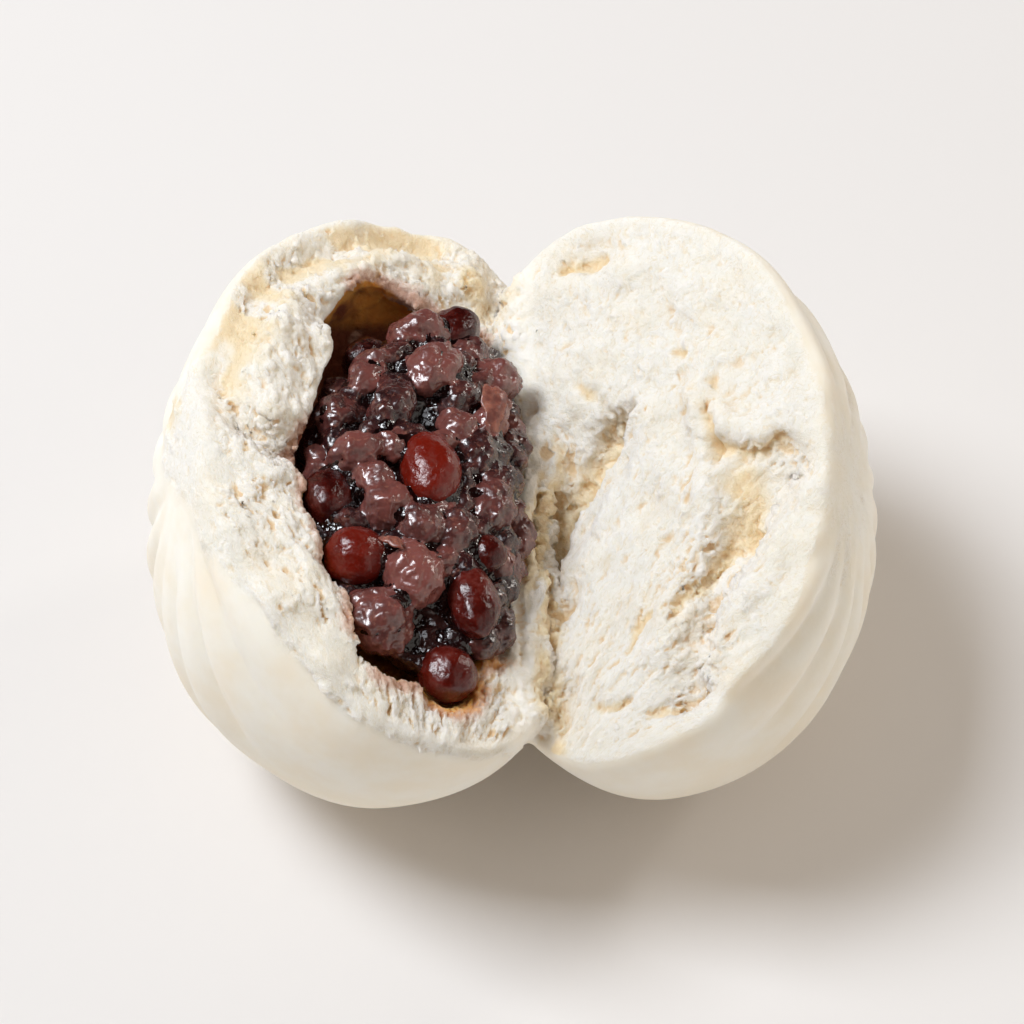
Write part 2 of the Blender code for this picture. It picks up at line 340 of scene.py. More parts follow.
def relax(mesh, points, rounds, weight):
    edges = np.empty(len(mesh.edges) * 2, np.int64)
    mesh.edges.foreach_get("vertices", edges)
    a, b = edges.reshape(-1, 2).T
    count = len(points)
    degree = np.bincount(a, minlength=count) + np.bincount(b, minlength=count)
    for _ in range(rounds):
        total = np.stack(
            [
                np.bincount(a, points[:, axis][b], count) + np.bincount(b, points[:, axis][a], count)
                for axis in range(points.shape[1])
            ],
            axis=1,
        )
        points = points + (total / degree[:, None] - points) * weight
    return points


def relaxValues(mesh, values, rounds):
    return relax(mesh, values[:, None], rounds, 0.5)[:, 0]


def keep(mesh, name, values):
    layer = mesh.attributes.new(name, "FLOAT", "POINT")
    layer.data.foreach_set("value", values.astype(np.float32))


def keepVector(mesh, name, values):
    layer = mesh.attributes.new(name, "FLOAT_VECTOR", "POINT")
    layer.data.foreach_set("vector", values.astype(np.float32).ravel())


def read(mesh, name):
    values = np.empty(len(mesh.vertices), np.float32)
    mesh.attributes[name].data.foreach_get("value", values)
    return values.astype(float)


# ---- the bun's plain skin, for points in a half's own axes ----


def skinPoint(points):
    # the nearest place on the plain dome, the direction it faces, and how high it climbs
    radius, height, widest, drop = (bun[key] for key in ("radius", "height", "widest", "drop"))
    turn = np.arctan2(points[:, 1], points[:, 0])
    reach = np.hypot(points[:, 0], points[:, 1]) / radius
    above = points[:, 2] > widest
    full = np.where(above, bun["sideFullness"], bun["underFullness"])
    climb = np.where(above, (points[:, 2] - widest) / (height - widest), (widest - points[:, 2]) / drop)
    climb = np.clip(climb, 0, None) ** np.where(above, 1 / full, 1.0)
    spread = reach ** (1 / full)
    rise = np.arctan2(climb, spread)
    newReach = radius * np.cos(rise) ** full
    lift = np.where(above, widest + (height - widest) * np.sin(rise) ** full, widest - drop * np.sin(rise))
    lift = np.maximum(lift, 0)
    rise = np.where(above, rise, -rise)
    place = np.stack([newReach * np.cos(turn), newReach * np.sin(turn), lift], axis=1)
    facing = np.stack([np.cos(rise) * np.cos(turn), np.cos(rise) * np.sin(turn), np.sin(rise)], axis=1)
    return place, facing


def pleats(facing):
    # depth of the gathered pleats, and of the faint creases that run on below them
    start = facing.copy()
    start[:, 1] -= bun["crownShift"] * np.maximum(facing[:, 2], 0) ** 2
    start /= np.linalg.norm(start, axis=1)[:, None]
    climb = 0.5 + np.arcsin(np.clip(start[:, 2], -1, 1)) / math.pi
    turn = np.arctan2(start[:, 1], start[:, 0]) - bun["pleatTwist"] * np.maximum(climb - 0.56, 0)
    fade = smooth(0.56, 0.74, climb) * (1 - smooth(0.84, 0.97, climb))
    crease = (1 - np.abs(np.sin(bun["pleats"] * turn / 2))) ** 1.2
    uneven = np.array([noise.noise((3 * math.cos(t), 3 * math.sin(t), 0.5)) for t in turn])
    return bun["pleatDepth"] * (1 + 0.9 * uneven) * fade * crease


def swell(place):
    lumps = np.array([noise.noise(point / 14) for point in place])
    return bun["unevenness"] * lumps * smooth(0.0, 0.3, place[:, 2] / bun["height"] + 0.2)


# ---- dough ----

# the torn faces, as paths of (along, out) in each half's own axes
tears = {
    "leftFocus": (-54.0, 16.0),
    "rightFocus": (-46.0, -4.0),
    "furrow": ((4, 42.5), (12, 40.5), (20, 37), (27, 31), (33, 23), (36, 15)),
    "valley": ((-7.5, 38), (-13.5, 31.5), (-18, 27.5), (-24, 25), (-32, 23)),
}

# grooves and ridges of the right half's torn face: the path, then depth (a ridge is below 0) and half width
folds = (
    (((3.5, 28.5), (0.8, 28.9), (-1.5, 28.9), (-3.1, 28.9)), 1.5, 0.8),
    (((-1.8, 29.3), (-3.4, 32.3), (-4.0, 35.5), (-3.5, 38.6)), 1.5, 0.9),
    (((1.0, 31.3), (-0.4, 35.1), (0.6, 38.2), (3.4, 39.8), (7, 39)), -1.1, 1.9),
    (((6, 26.5), (2, 27), (-3, 27)), -0.6, 1.5),
    (((-6.6, 32.5), (-10, 32.6), (-12.5, 31.2)), 1.3, 2.6),
    (((-13.7, 29.8), (-19.3, 25.2), (-22.4, 22)), 1.1, 0.9),
    (((-14, 26.5), (-19, 22.5), (-24, 20)), -0.5, 1.8),
    (((31.4, 10), (31.2, 15)), 1.2, 1.2),
    (((28, 12), (27, 22), (22, 30)), -0.7, 2.4),
    (((13.7, 25.3), (13.2, 26)), 0.9, 0.6),
    (((13.2, 11.3), (11.4, 12.7)), 0.9, 0.9),
    (((7.5, 30.2), (6.5, 30.6)), 0.8, 0.7),
    (((-31.7, 10.5), (-31.9, 14.5)), 0.9, 0.6),
    (((-33.6, 17.5), (-33.8, 21.5)), 0.8, 0.5),
    (((-25.5, 15), (-21, 19)), 0.6, 0.8),
    (((20, 8), (14, 20), (12, 30)), -0.5, 2.2),
    (((-26, 8), (-27, 20), (-22, 32)), -0.5, 2.0),
    (((3.5, 4.7), (0.8, 5.8), (-3.3, 8.3)), 1.2, 0.5),
)
# the torn edge on the right half beyond which the face drops towards the crease
tornEdge = {
    "along": (-20, -16, -11.3, -5.3, -0.1, 4.2, 6.6, 9),
    "out": (4.6, 5.1, 6.4, 7.7, 11.8, 15.1, 18.1, 20),
    "drop": 2.8,
}

doughLook = {
    "baseVoxel": 0.6 * mm,
    "voxel": 0.26 * mm,
    "rimReach": 3.2 * mm,
    "triangles": 192000,
}


def pathDistance(points, path):
    best = np.full(len(points), 1e9)
    for start, end in zip(path, path[1:]):
        start, end = np.array(start, float), np.array(end, float)
        way = end - start
        share = np.clip((points - start) @ way / (way @ way), 0, 1)
        best = np.minimum(best, np.linalg.norm(points - start - share[:, None] * way, axis=1))
    return best


def toHalf(points, half):
    inverse = np.array(halfMatrix(half).inverted())
    return points @ inverse[:3, :3].T + inverse[:3, 3]


def fromHalf(points, half):
    matrix = np.array(halfMatrix(half))
    return points @ matrix[:3, :3].T + matrix[:3, 3]


def pickHalf(points):
    return points[:, 0] > creasePlace[0] * mm


def findSkin(mesh):
    shape = bmesh.new()
    shape.from_mesh(mesh)
    centres = np.array([face.calc_center_median() for face in shape.faces])
    facings = np.array([face.normal for face in shape.faces])
    shape.free()
    isRight = pickHalf(centres)
    skin = facings[:, 2] < -0.95
    for half, chosen in ((left, ~isRight), (right, isRight)):
        turn = np.array(halfMatrix(half))[:3, :3] / (half["size"] * mm)
        local = toHalf(centres, half)
        place, facing = skinPoint(local)
        away = np.linalg.norm(local - place, axis=1)
        onDome = (away < 3.2) & (((facing @ turn.T) * facings).sum(1) > 0.45)
        onBase = (local[:, 2] < 0.6) & ((facings @ turn)[:, 2] < -0.6)
        skin |= chosen & (onDome | onBase)
    return skin


def treeOf(mesh):
    return BVHTree.FromPolygons([v.co for v in mesh.vertices], [tuple(p.vertices) for p in mesh.polygons])


def pointTree(points):
    tree = kdtree.KDTree(len(points))
    for k, point in enumerate(points):
        tree.insert(point, k)
    tree.balance()
    return tree


def findRim(mesh, isSkin):
    # points along the line where skin and crumb meet, away from the crease
    shape = bmesh.new()
    shape.from_mesh(mesh)
    found = []
    for edge in shape.edges:
        if len({bool(isSkin[face.index]) for face in edge.link_faces}) == 2:
            found += [edge.verts[0].co.lerp(edge.verts[1].co, share) for share in (0, 0.33, 0.67)]
    shape.free()
    found = np.array(found)
    isRight = pickHalf(found)
    out = np.where(isRight, toHalf(found, right)[:, 2], toHalf(found, left)[:, 2])
    along = np.abs(toHalf(found, left)[:, 1])
    return pointTree(found[(out > 7) | (along > 33)])


def foldDepth(points, local):
    # how deep the folds of the right half's face go, and how much each point belongs to a groove
    wander = np.array([noise.noise_vector(Vector(place) / (3.5 * mm)) for place in points])
    wander += 0.5 * np.array([noise.noise_vector(Vector(place) / (1.3 * mm)) for place in points])
    flat = local[:, 1:] + wander[:, :2] * 0.9
    depth = np.zeros(len(points))
    groove = np.zeros(len(points))
    for path, deep, width in folds:
        share = np.exp(-((pathDistance(flat, path) / width) ** 2))
        depth += deep * share
        groove = np.maximum(groove, share * (deep > 0))
    flat = local[:, 1:] + wander[:, 1:] * 2.2
    gap = np.interp(flat[:, 0], tornEdge["along"], tornEdge["out"]) - flat[:, 1]
    ends = smooth(-21, -15, flat[:, 0]) * smooth(9.5, 6, flat[:, 0])
    lower = smooth(-0.1, 0.8, gap) * smooth(11, 3, gap) * ends
    raised = np.exp(-(((gap + 1.2) / 1.3) ** 2)) * ends
    return depth + tornEdge["drop"] * lower - 0.7 * raised, np.maximum(groove, lower * 0.85), lower


def lipDrop(points):
    # the left half's face slopes down towards the crease instead of ending in a lip
    x, y, z = points.T
    return 2.2 * smooth(-0.5, 3.2, x) * smooth(-27, -18, y) * smooth(9, 1, y) * smooth(26, 30, z)


def plainPlaces(points, isRight):
    # where each point would lie on the pleated skin of its half
    plain = points.copy()
    for half, chosen in ((left, ~isRight), (right, isRight)):
        local = toHalf(points[chosen], half)
        place, facing = skinPoint(local)
        place = place + (swell(place) - pleats(facing))[:, None] * facing
        footing = smooth(0.8, 0.2, local[:, 2])[:, None]
        plain[chosen] = fromHalf(place * (1 - footing) + local * footing, half)
    return plain


def findInside(mesh, local, crumb, isRight, toFilling, fillTree):
    # the hollow's walls: what faces the filling, or lies behind the torn face close to it
    points, facings = coordinates(mesh), normals(mesh)
    inside = smooth(2.2, 0.8, local[:, 0]) * (toFilling < 8)
    for k in np.nonzero((crumb > 0.5) & ~isRight)[0]:
        facing = Vector(facings[k])
        if fillTree.ray_cast(Vector(points[k]) + facing * 0.3 * mm, facing, 12 * mm)[0] is not None:
            inside[k] = 1.0
    return inside * (1 - isRight) * smooth(5, 9, local[:, 2])


def keepFibres(mesh, local, isRight):
    # fibres fan out from where each half began to tear
    focus = np.where(isRight[:, None], np.array(tears["rightFocus"]), np.array(tears["leftFocus"]))
    away = local[:, 1:] - focus
    distance = np.linalg.norm(away, axis=1)
    turn = np.arctan2(away[:, 1], away[:, 0])
    fibre = np.stack([turn * 42 + isRight * 300, distance, local[:, 0]], axis=1) * mm
    keepVector(mesh, "fibre", fibre)
    ahead = np.zeros((len(local), 3))
    ahead[:, 1:] = away / distance[:, None]
    matrices = [np.array(halfMatrix(half))[:3, :3] / (half["size"] * mm) for half in (left, right)]
    keepVector(mesh, "pull", np.where(isRight[:, None], ahead @ matrices[1].T, ahead @ matrices[0].T))


def smoothBase():
    # the plain bread under the torn texture, with everything that later steps read kept on its points
    base = mergedCopy("dough", dough)
    isSkin = findSkin(base.data)
    solidTree = treeOf(base.data)
    rimTree = findRim(base.data, isSkin)
    fillTree = treeOf(filling.data)
    remesh(base, doughLook["baseVoxel"])
    mesh = base.data
    points = coordinates(mesh)
    crumb = np.array([0.0 if isSkin[solidTree.find_nearest(point)[2]] else 1.0 for point in points])
    rim = np.array([rimTree.find(point)[2] for point in points])
    crumb = relaxValues(mesh, crumb, 2)

    isRight = pickHalf(points)
    plain = plainPlaces(points, isRight)
    share = smooth(0.3, 0.9, (1 - crumb) * smooth(0.6 * mm, 1.6 * mm, points[:, 2]))
    share *= smooth(3.0 * mm, 2.0 * mm, np.linalg.norm(plain - points, axis=1))
    points = points * (1 - share[:, None]) + plain * share[:, None]
    points = relax(mesh, points, 5, 0.5 * smooth(0.1, 0.6, crumb)[:, None])
    points = relax(mesh, points, 10, 0.5 * smooth(doughLook["rimReach"], 0.8 * mm, rim)[:, None])
    points[:, 2] = np.maximum(points[:, 2], 0)
    points[:, 2] -= lipDrop(points / mm) * smooth(0.3, 0.9, crumb) * ~isRight * mm
    setCoordinates(mesh, points)

    localLeft, localRight = toHalf(points, left), toHalf(points, right)
    local = np.where(isRight[:, None], localRight, localLeft)
    sunk, inFold, inDrop = foldDepth(points, local)
    sunk = sunk * smooth(2 * mm, 5 * mm, points[:, 0]) * smooth(0.3, 0.9, crumb)
    sunk = sunk * smooth(0.8 * mm, 2.5 * mm, rim)
    points = points - normals(mesh) * sunk[:, None] * mm
    setCoordinates(mesh, points)
    toFilling = np.array([fillTree.find_nearest(point)[3] for point in points]) / mm
    inside = findInside(mesh, local, crumb, isRight, toFilling, fillTree)
    # juice has soaked into the crumb round the mouth of the hollow
    wallTree = pointTree(points[(inside > 0.5) & (rim > 3.5 * mm)])
    toWall = np.array([wallTree.find(point)[2] for point in points])
    lips = np.exp(-((toWall / (1.9 * mm)) ** 2)) * (1 - isRight)
    inside = relaxValues(mesh, inside, 4)
    flat = local[:, 1:]
    patch = np.array([noise.noise(Vector(point) / (4.5 * mm)) for point in points])
    toFurrow = pathDistance(flat, tears["furrow"])
    inFurrow = np.exp(-((toFurrow / 3.2) ** 2)) * smooth(-0.35, 0.1, patch)
    # painted warm shade along the left half's furrow
    furrowShade = np.exp(-((toFurrow / 4.6) ** 2)) * smooth(-0.4, 0.05, patch)
    x, y = points[:, 0] / mm, points[:, 1] / mm
    inCrease = np.exp(-(((x - 4.4) / 1.8) ** 2)) * smooth(12, 4, y) * smooth(-0.45, 0.2, patch)
    atCrease = smooth(-2.5, 0, x) * smooth(8.5, 6.5, x) * smooth(14, 6, y)
    # torn crumb reaches a little past the rim at the front of the left half
    past = (1 - isRight) * smooth(14, 4, local[:, 1]) * smooth(2.6 * mm, 1.0 * mm, rim)
    crumb = np.maximum(crumb, past)
    # below the rim of the left half there is only skin
    below = smooth(1.0, -1.0, local[:, 0] - np.interp(local[:, 1], (-12, -4), (-1.5, -8)))
    crumb = crumb * (1 - (1 - isRight) * smooth(35, 37.5, local[:, 2]) * below)
    rough = np.where(
        isRight,
        0.5 + 0.45 * np.maximum(np.exp(-((pathDistance(flat, tears["valley"]) / 4) ** 2)), inDrop),
        1 - 0.7 * inFurrow,
    )
    rough = np.maximum(rough, 0.75 * atCrease)
    # painted warm shade: a patch near the top of the left half, the right half's grooves and drop, the
    # furrow, and strongest in the crease
    atTop = np.exp(-((np.hypot(flat[:, 0] - 29.5, flat[:, 1] - 10) / 7) ** 2)) * smooth(-0.45, 0.15, patch)
    warm = np.maximum(np.where(isRight, inFold, np.maximum(furrowShade, atTop)), 1.7 * inCrease)
    atFoot = np.exp(-((toFilling / 2.2) ** 1.5)) * (1 - isRight) * smooth(-22, -27, flat[:, 0]) * 0.7
    # the two halves' fibres meet in a plane, where the drawn texture fades
    toPlane = np.abs(points[:, 0] - creasePlace[0] * mm)
    keep(mesh, "crumb", crumb)
    keep(mesh, "rim", smooth(0.3, 2.2 + 1.4 * isRight, rim / mm))
    keep(mesh, "rough", relaxValues(mesh, rough, 3))
    keep(mesh, "drawn", smooth(0.5 * mm, 2.4 * mm, toPlane))
    keep(mesh, "warm", warm * crumb)
    keep(mesh, "stain", np.maximum(inside, atFoot) * crumb)
    keep(mesh, "lips", lips * crumb)
    keepFibres(mesh, local, isRight)
    return base


shredSizes = {
    "Tuft Density": 0.2 / mm**2,
    "Tuft Size": 0.5 * mm,
    "Shred Density": 1.0 / mm**2,
    "Shred Width": 0.22 * mm,
    "Shred Length": 1.6 * mm,
    "Seed": 5,
}


def shredTree(material):
    # tufts and pulled shreds of crumb, sunk halfway into the torn faces
    tree, graph = geometryTree("crumb shreds", {**shredSizes, "Material": material})
    ask = lambda label: given(graph, label)
    place = graph.node("GeometryNodeInputPosition")
    mask = named(graph, "crumb").ease(0.55, 0.95) * named(graph, "rim").ease(0.2, 0.9)
    mask = mask * named(graph, "rough").ease(0.42, 0.85) * named(graph, "stain").ease(0.7, 0.3)
    clump = graph.noise(place, 1 / (5 * mm), 2.0, 0.5).ease(0.40, 0.62, 0.12, 1.0)
    tuft = graph.node("GeometryNodeMeshIcoSphere", {}, {"Radius": 1.0, "Subdivisions": 1})

    seed = ask("Seed")
    size = randomVector(graph, (0.4, 0.4, 0.3), (1.1, 1.1, 0.9), 3)
    size = graph.vector("SCALE", size, scale=ask("Tuft Size"))
    turn = randomVector(graph, (0, 0, 0), (6.3, 6.3, 6.3), seed + 1)
    tufts = scatter(graph, ask("Tuft Density") * mask * clump, seed, tuft, turn, size)

    pull = {"Vector": named(graph, "pull", "FLOAT_VECTOR")}
    along = graph.node("FunctionNodeAlignRotationToVector", {"axis": "X"}, pull)
    oneNumber = {"data_type": "FLOAT"}
    length = graph.node("FunctionNodeRandomValue", oneNumber, {"Min": 0.4, "Max": 1.0, "Seed": 9}, 1)
    width = graph.node("FunctionNodeRandomValue", oneNumber, {"Min": 0.7, "Max": 1.3, "Seed": 10}, 1)
    width = width * ask("Shred Width")
    slim = graph.node("ShaderNodeCombineXYZ", {}, {0: length * ask("Shred Length"), 1: width, 2: width})
    shreds = scatter(graph, ask("Shred Density") * mask * clump, seed + 7, tuft, along, slim)
    return endTree(graph, joinParts(graph, given(graph, "Geometry"), tufts, shreds))


# where the crease runs, from the front to the back, in millimetres
crease = {
    "y": (-36, -30, -22, -12, -4, 6, 14, 24),
    "x": (4.4, 4.6, 4.6, 4.6, 4.5, 4.3, 1.8, 0.8),
    "z": (27.6, 29.6, 31, 31, 31.6, 33.6, 34.4, 35),
    "lumps": 220,
    "wander": 1.4 * mm,
}


def seamShreds(shape):
    # crumb that still joins the halves in the bottom of the crease
    draw = random.Random(11)
    for _ in range(crease["lumps"]):
        y = draw.uniform(-32, 12)
        x, z = np.interp(y, crease["y"], crease["x"]), np.interp(y, crease["y"], crease["z"])
        wide = np.interp(y, (-14, -6), (1.0, 0.6))
        place = Vector((x + draw.uniform(-1.2, 1.4) * wide, y, z + draw.uniform(-0.9, 0.8)))
        sizes = [draw.uniform(0.6, 1.7) * wide for _ in range(3)]
        matrix = (
            Matrix.Translation(place * mm)
            @ Matrix.Rotation(draw.uniform(-1.0, 1.0), 4, "Z")
            @ Matrix.Rotation(draw.uniform(-0.5, 0.5), 4, "Y")
            @ Matrix.Diagonal((*(size * mm for size in sizes), 1))
        )
        bmesh.ops.create_icosphere(shape, subdivisions=2, radius=1.0, matrix=matrix)


def carryTree(source, material):
    # reads what the plain bread keeps on its points on to the torn mesh
    tree, graph = geometryTree("carry", {"Source": source, "Material": material})
    info = graph.node("GeometryNodeObjectInfo", {}, {"Object": given(graph, "Source")}, "Geometry")
    mesh = given(graph, "Geometry")
    for name in ("crumb", "rim", "rough", "warm", "stain", "lips", "drawn", "fibre"):
        kind = {"data_type": "FLOAT_VECTOR" if name == "fibre" else "FLOAT"}
        inputs = {"Mesh": info, "Value": named(graph, name, kind["data_type"])}
        value = graph.node("GeometryNodeSampleNearestSurface", kind, inputs)
        inputs = {"Geometry": mesh, "Name": name, "Value": value}
        mesh = graph.node("GeometryNodeStoreNamedAttribute", {**kind, "domain": "POINT"}, inputs)
    return endTree(graph, mesh)


crumbRelief = {
    "Bulge Size": 6.5 * mm,
    "Bulge Height": 0.9 * mm,
    "Step Size": 3.8 * mm,
    "Step Height": 0.8 * mm,
    "Ragged Size": 1.6 * mm,
    "Ragged Height": 1.2 * mm,
    "Fibre Width": 0.5 * mm,
    "Fibre Height": 0.6 * mm,
    "Gash Size": 3.2 * mm,
    "Gash Depth": 0.5 * mm,
    "Tuft Size": 1.3 * mm,
    "Tuft Height": 0.12 * mm,
    "Pocket Depth": 0.45 * mm,
    "Grain Size": 0.55 * mm,
    "Grain Height": 0.10 * mm,
    "Jitter": 0.45 * mm,
}


def crumbTree(material):
    tree, graph = geometryTree("crumb relief", {**crumbRelief, "Material": material})
    ask = lambda label: given(graph, label)
    place = graph.node("GeometryNodeInputPosition")
    facing = graph.node("GeometryNodeInputNormal")
    amount = named(graph, "crumb").ease(0.3, 0.9) * named(graph, "rim").ease(0.0, 1.0, 0.18, 1.0)
    amount = amount * named(graph, "rough") * named(graph, "stain").ease(0.3, 0.9, 1.0, 0.4)
    along = named(graph, "drawn")
    bend = graph.vector("SCALE", graph.wobble(place, 1 / (4 * mm), 3.0, 0.6), scale=3.6 * mm)
    fibre = graph.vector("ADD", named(graph, "fibre", "FLOAT_VECTOR"), bend)
    drawn = graph.vector("MULTIPLY", fibre, (1.0, 0.16, 0.8))
    # torn layers: a slow height cut into steps with ragged edges
    bulge = graph.noise(place, 1 / ask("Bulge Size"), 1.0)
    layers = graph.vector("MULTIPLY", fibre, (1.0, 0.55, 1.0))
    slow = graph.noise(layers, 1 / ask("Step Size"), 4.0, 0.6) * 5
    whole = slow.maths("FLOOR")
    steps = (whole + (slow - whole).ease(0.30, 0.55)) / 5 - 0.5
    fibres = graph.noise(drawn, 1 / ask("Fibre Width"), 3.0, 0.6)
    ridges = 1 - (fibres - 0.5).maths("ABSOLUTE") * 3.2
    ragged = graph.noise(place, 1 / ask("Ragged Size"), 4.0, 0.65) - 0.5
    first = steps * ask("Step Height") * 3.2 + (ridges - 0.6) * ask("Fibre Height") * 0.6
    first = first * along + (bulge - 0.5) * ask("Bulge Height") * 2.4
    first = first + (1 - along) * ragged * ask("Ragged Height") * 2
    # long open tears, on the right half only, whose fibres are kept past the left half's
    onRight = graph.part(fibre, "X").ease(140 * mm, 160 * mm)
    spread = graph.vector("MULTIPLY", fibre, (1.0, 0.22, 1.0))
    gash = graph.noise(spread, 1 / ask("Gash Size"), 3.0, 0.6).ease(0.50, 0.70) * onRight
    first = first - gash * along * ask("Gash Depth")
    moved = pushOut(graph, first * amount)
    # small tufts drawn out along the tear, and among them shallow pockets where bubbles were pulled open
    cell = graph.cells(graph.vector("MULTIPLY", fibre, (1.0, 0.3, 0.8)), 1 / ask("Tuft Size"))
    chance = graph.node("FunctionNodeSeparateColor", {}, {"Color": cell.out("Color")})
    pocket = cell.ease(0.50, 0.15) * chance.ease(0.70, 0.74)
    tuft = cell.ease(0.62, 0.0) * chance.ease(0.66, 0.60) * (chance + 0.4)
    grain = graph.noise(place, 1 / ask("Grain Size"), 3.0, 0.65)
    second = (fibres - 0.5) * ask("Fibre Height") * 1.6 + tuft * ask("Tuft Height") * 1.4
    second = (second - pocket * ask("Pocket Depth")) * along + (grain - 0.5) * ask("Grain Height") * 2
    jitter = graph.wobble(drawn, 1 / (0.8 * mm), 2.0, 0.6)
    jitter = graph.vector("SCALE", jitter, scale=amount * along * ask("Jitter"))
    offset = graph.vector("ADD", graph.vector("SCALE", facing, scale=second * amount), jitter)
    torn = graph.node("GeometryNodeSetPosition", {}, {"Geometry": moved, "Offset": offset})
    settings = {"data_type": "FLOAT", "domain": "POINT"}
    inputs = {"Geometry": torn, "Name": "pocket", "Value": (pocket + gash * along * 0.8) * amount}
    return endTree(graph, graph.node("GeometryNodeStoreNamedAttribute", settings, inputs))


def hollows(mesh, points, rounds):
    # how far each point lies below its smoothed surroundings, in millimetres
    wide = relax(mesh, points, rounds, 0.6)
    return ((wide - points) * normals(mesh)).sum(1) / mm


def dropCrumbs(mesh):
    # keeps the largest connected body and deletes the loose specks beside it
    edges = np.empty(len(mesh.edges) * 2, np.int64)
    mesh.edges.foreach_get("vertices", edges)
    a, b = edges.reshape(-1, 2).T
    label = np.arange(len(mesh.vertices))
    while True:
        low = np.minimum(label[a], label[b])
        joined = label.copy()
        np.minimum.at(joined, label[a], low)
        np.minimum.at(joined, label[b], low)
        joined = joined[joined[joined]]
        if (joined == label).all():
            break
        label = joined
    loose = label != np.bincount(label).argmax()
    print("loose specks:", len(np.unique(label)) - 1)
    drop = lambda shape: bmesh.ops.delete(shape, geom=[vert for vert in shape.verts if loose[vert.index]])
    editMesh(mesh, drop)


def buildDough(material):
    base = smoothBase()
    print("plain bread:", len(base.data.polygons), "faces")
    torn = newPiece("tornBun", base.data.copy())
    runTree(torn, shredTree(material), {**shredSizes, "Material": material})
    editMesh(torn.data, seamShreds)
    remesh(torn, doughLook["voxel"])
    print("remeshed:", len(torn.data.polygons), "faces")
    runTree(torn, carryTree(base, material), {"Source": base, "Material": material})
    bpy.data.objects.remove(base)
    mesh = torn.data
    points = relax(mesh, coordinates(mesh), 3, 0.5 * smooth(0.6, 0.2, read(mesh, "crumb"))[:, None])
    # the crease wanders from side to side
    x, y, z = points.T / mm
    near = np.exp(-(((x - 4.5) / 3) ** 2)) * smooth(24, 28, z) * smooth(-34, -30, y) * smooth(12, 6, y)
    wander = np.array([noise.fractal(Vector((0.3, a / 6, b / 8)), 1.0, 2.2, 3) for a, b in zip(y, z)])
    points[:, 0] += wander * near * crease["wander"]
    setCoordinates(mesh, points)
    runTree(torn, crumbTree(material), {**crumbRelief, "Material": material})
    mesh = torn.data
    points = coordinates(mesh)
    points[:, 2] = np.maximum(points[:, 2], 0)
    setCoordinates(mesh, points)
    crumb = read(mesh, "crumb")
    keep(mesh, "hollow", hollows(mesh, points, 12) * crumb)
    keep(mesh, "recess", hollows(mesh, points, 110) * crumb)
    thin = torn.modifiers.new("thin", "DECIMATE")
    thin.ratio = min(doughLook["triangles"] / (2 * len(mesh.polygons)), 1.0)
    bake(torn)
    dropCrumbs(torn.data)
    print("torn bread:", len(torn.data.polygons), "faces")
    return torn


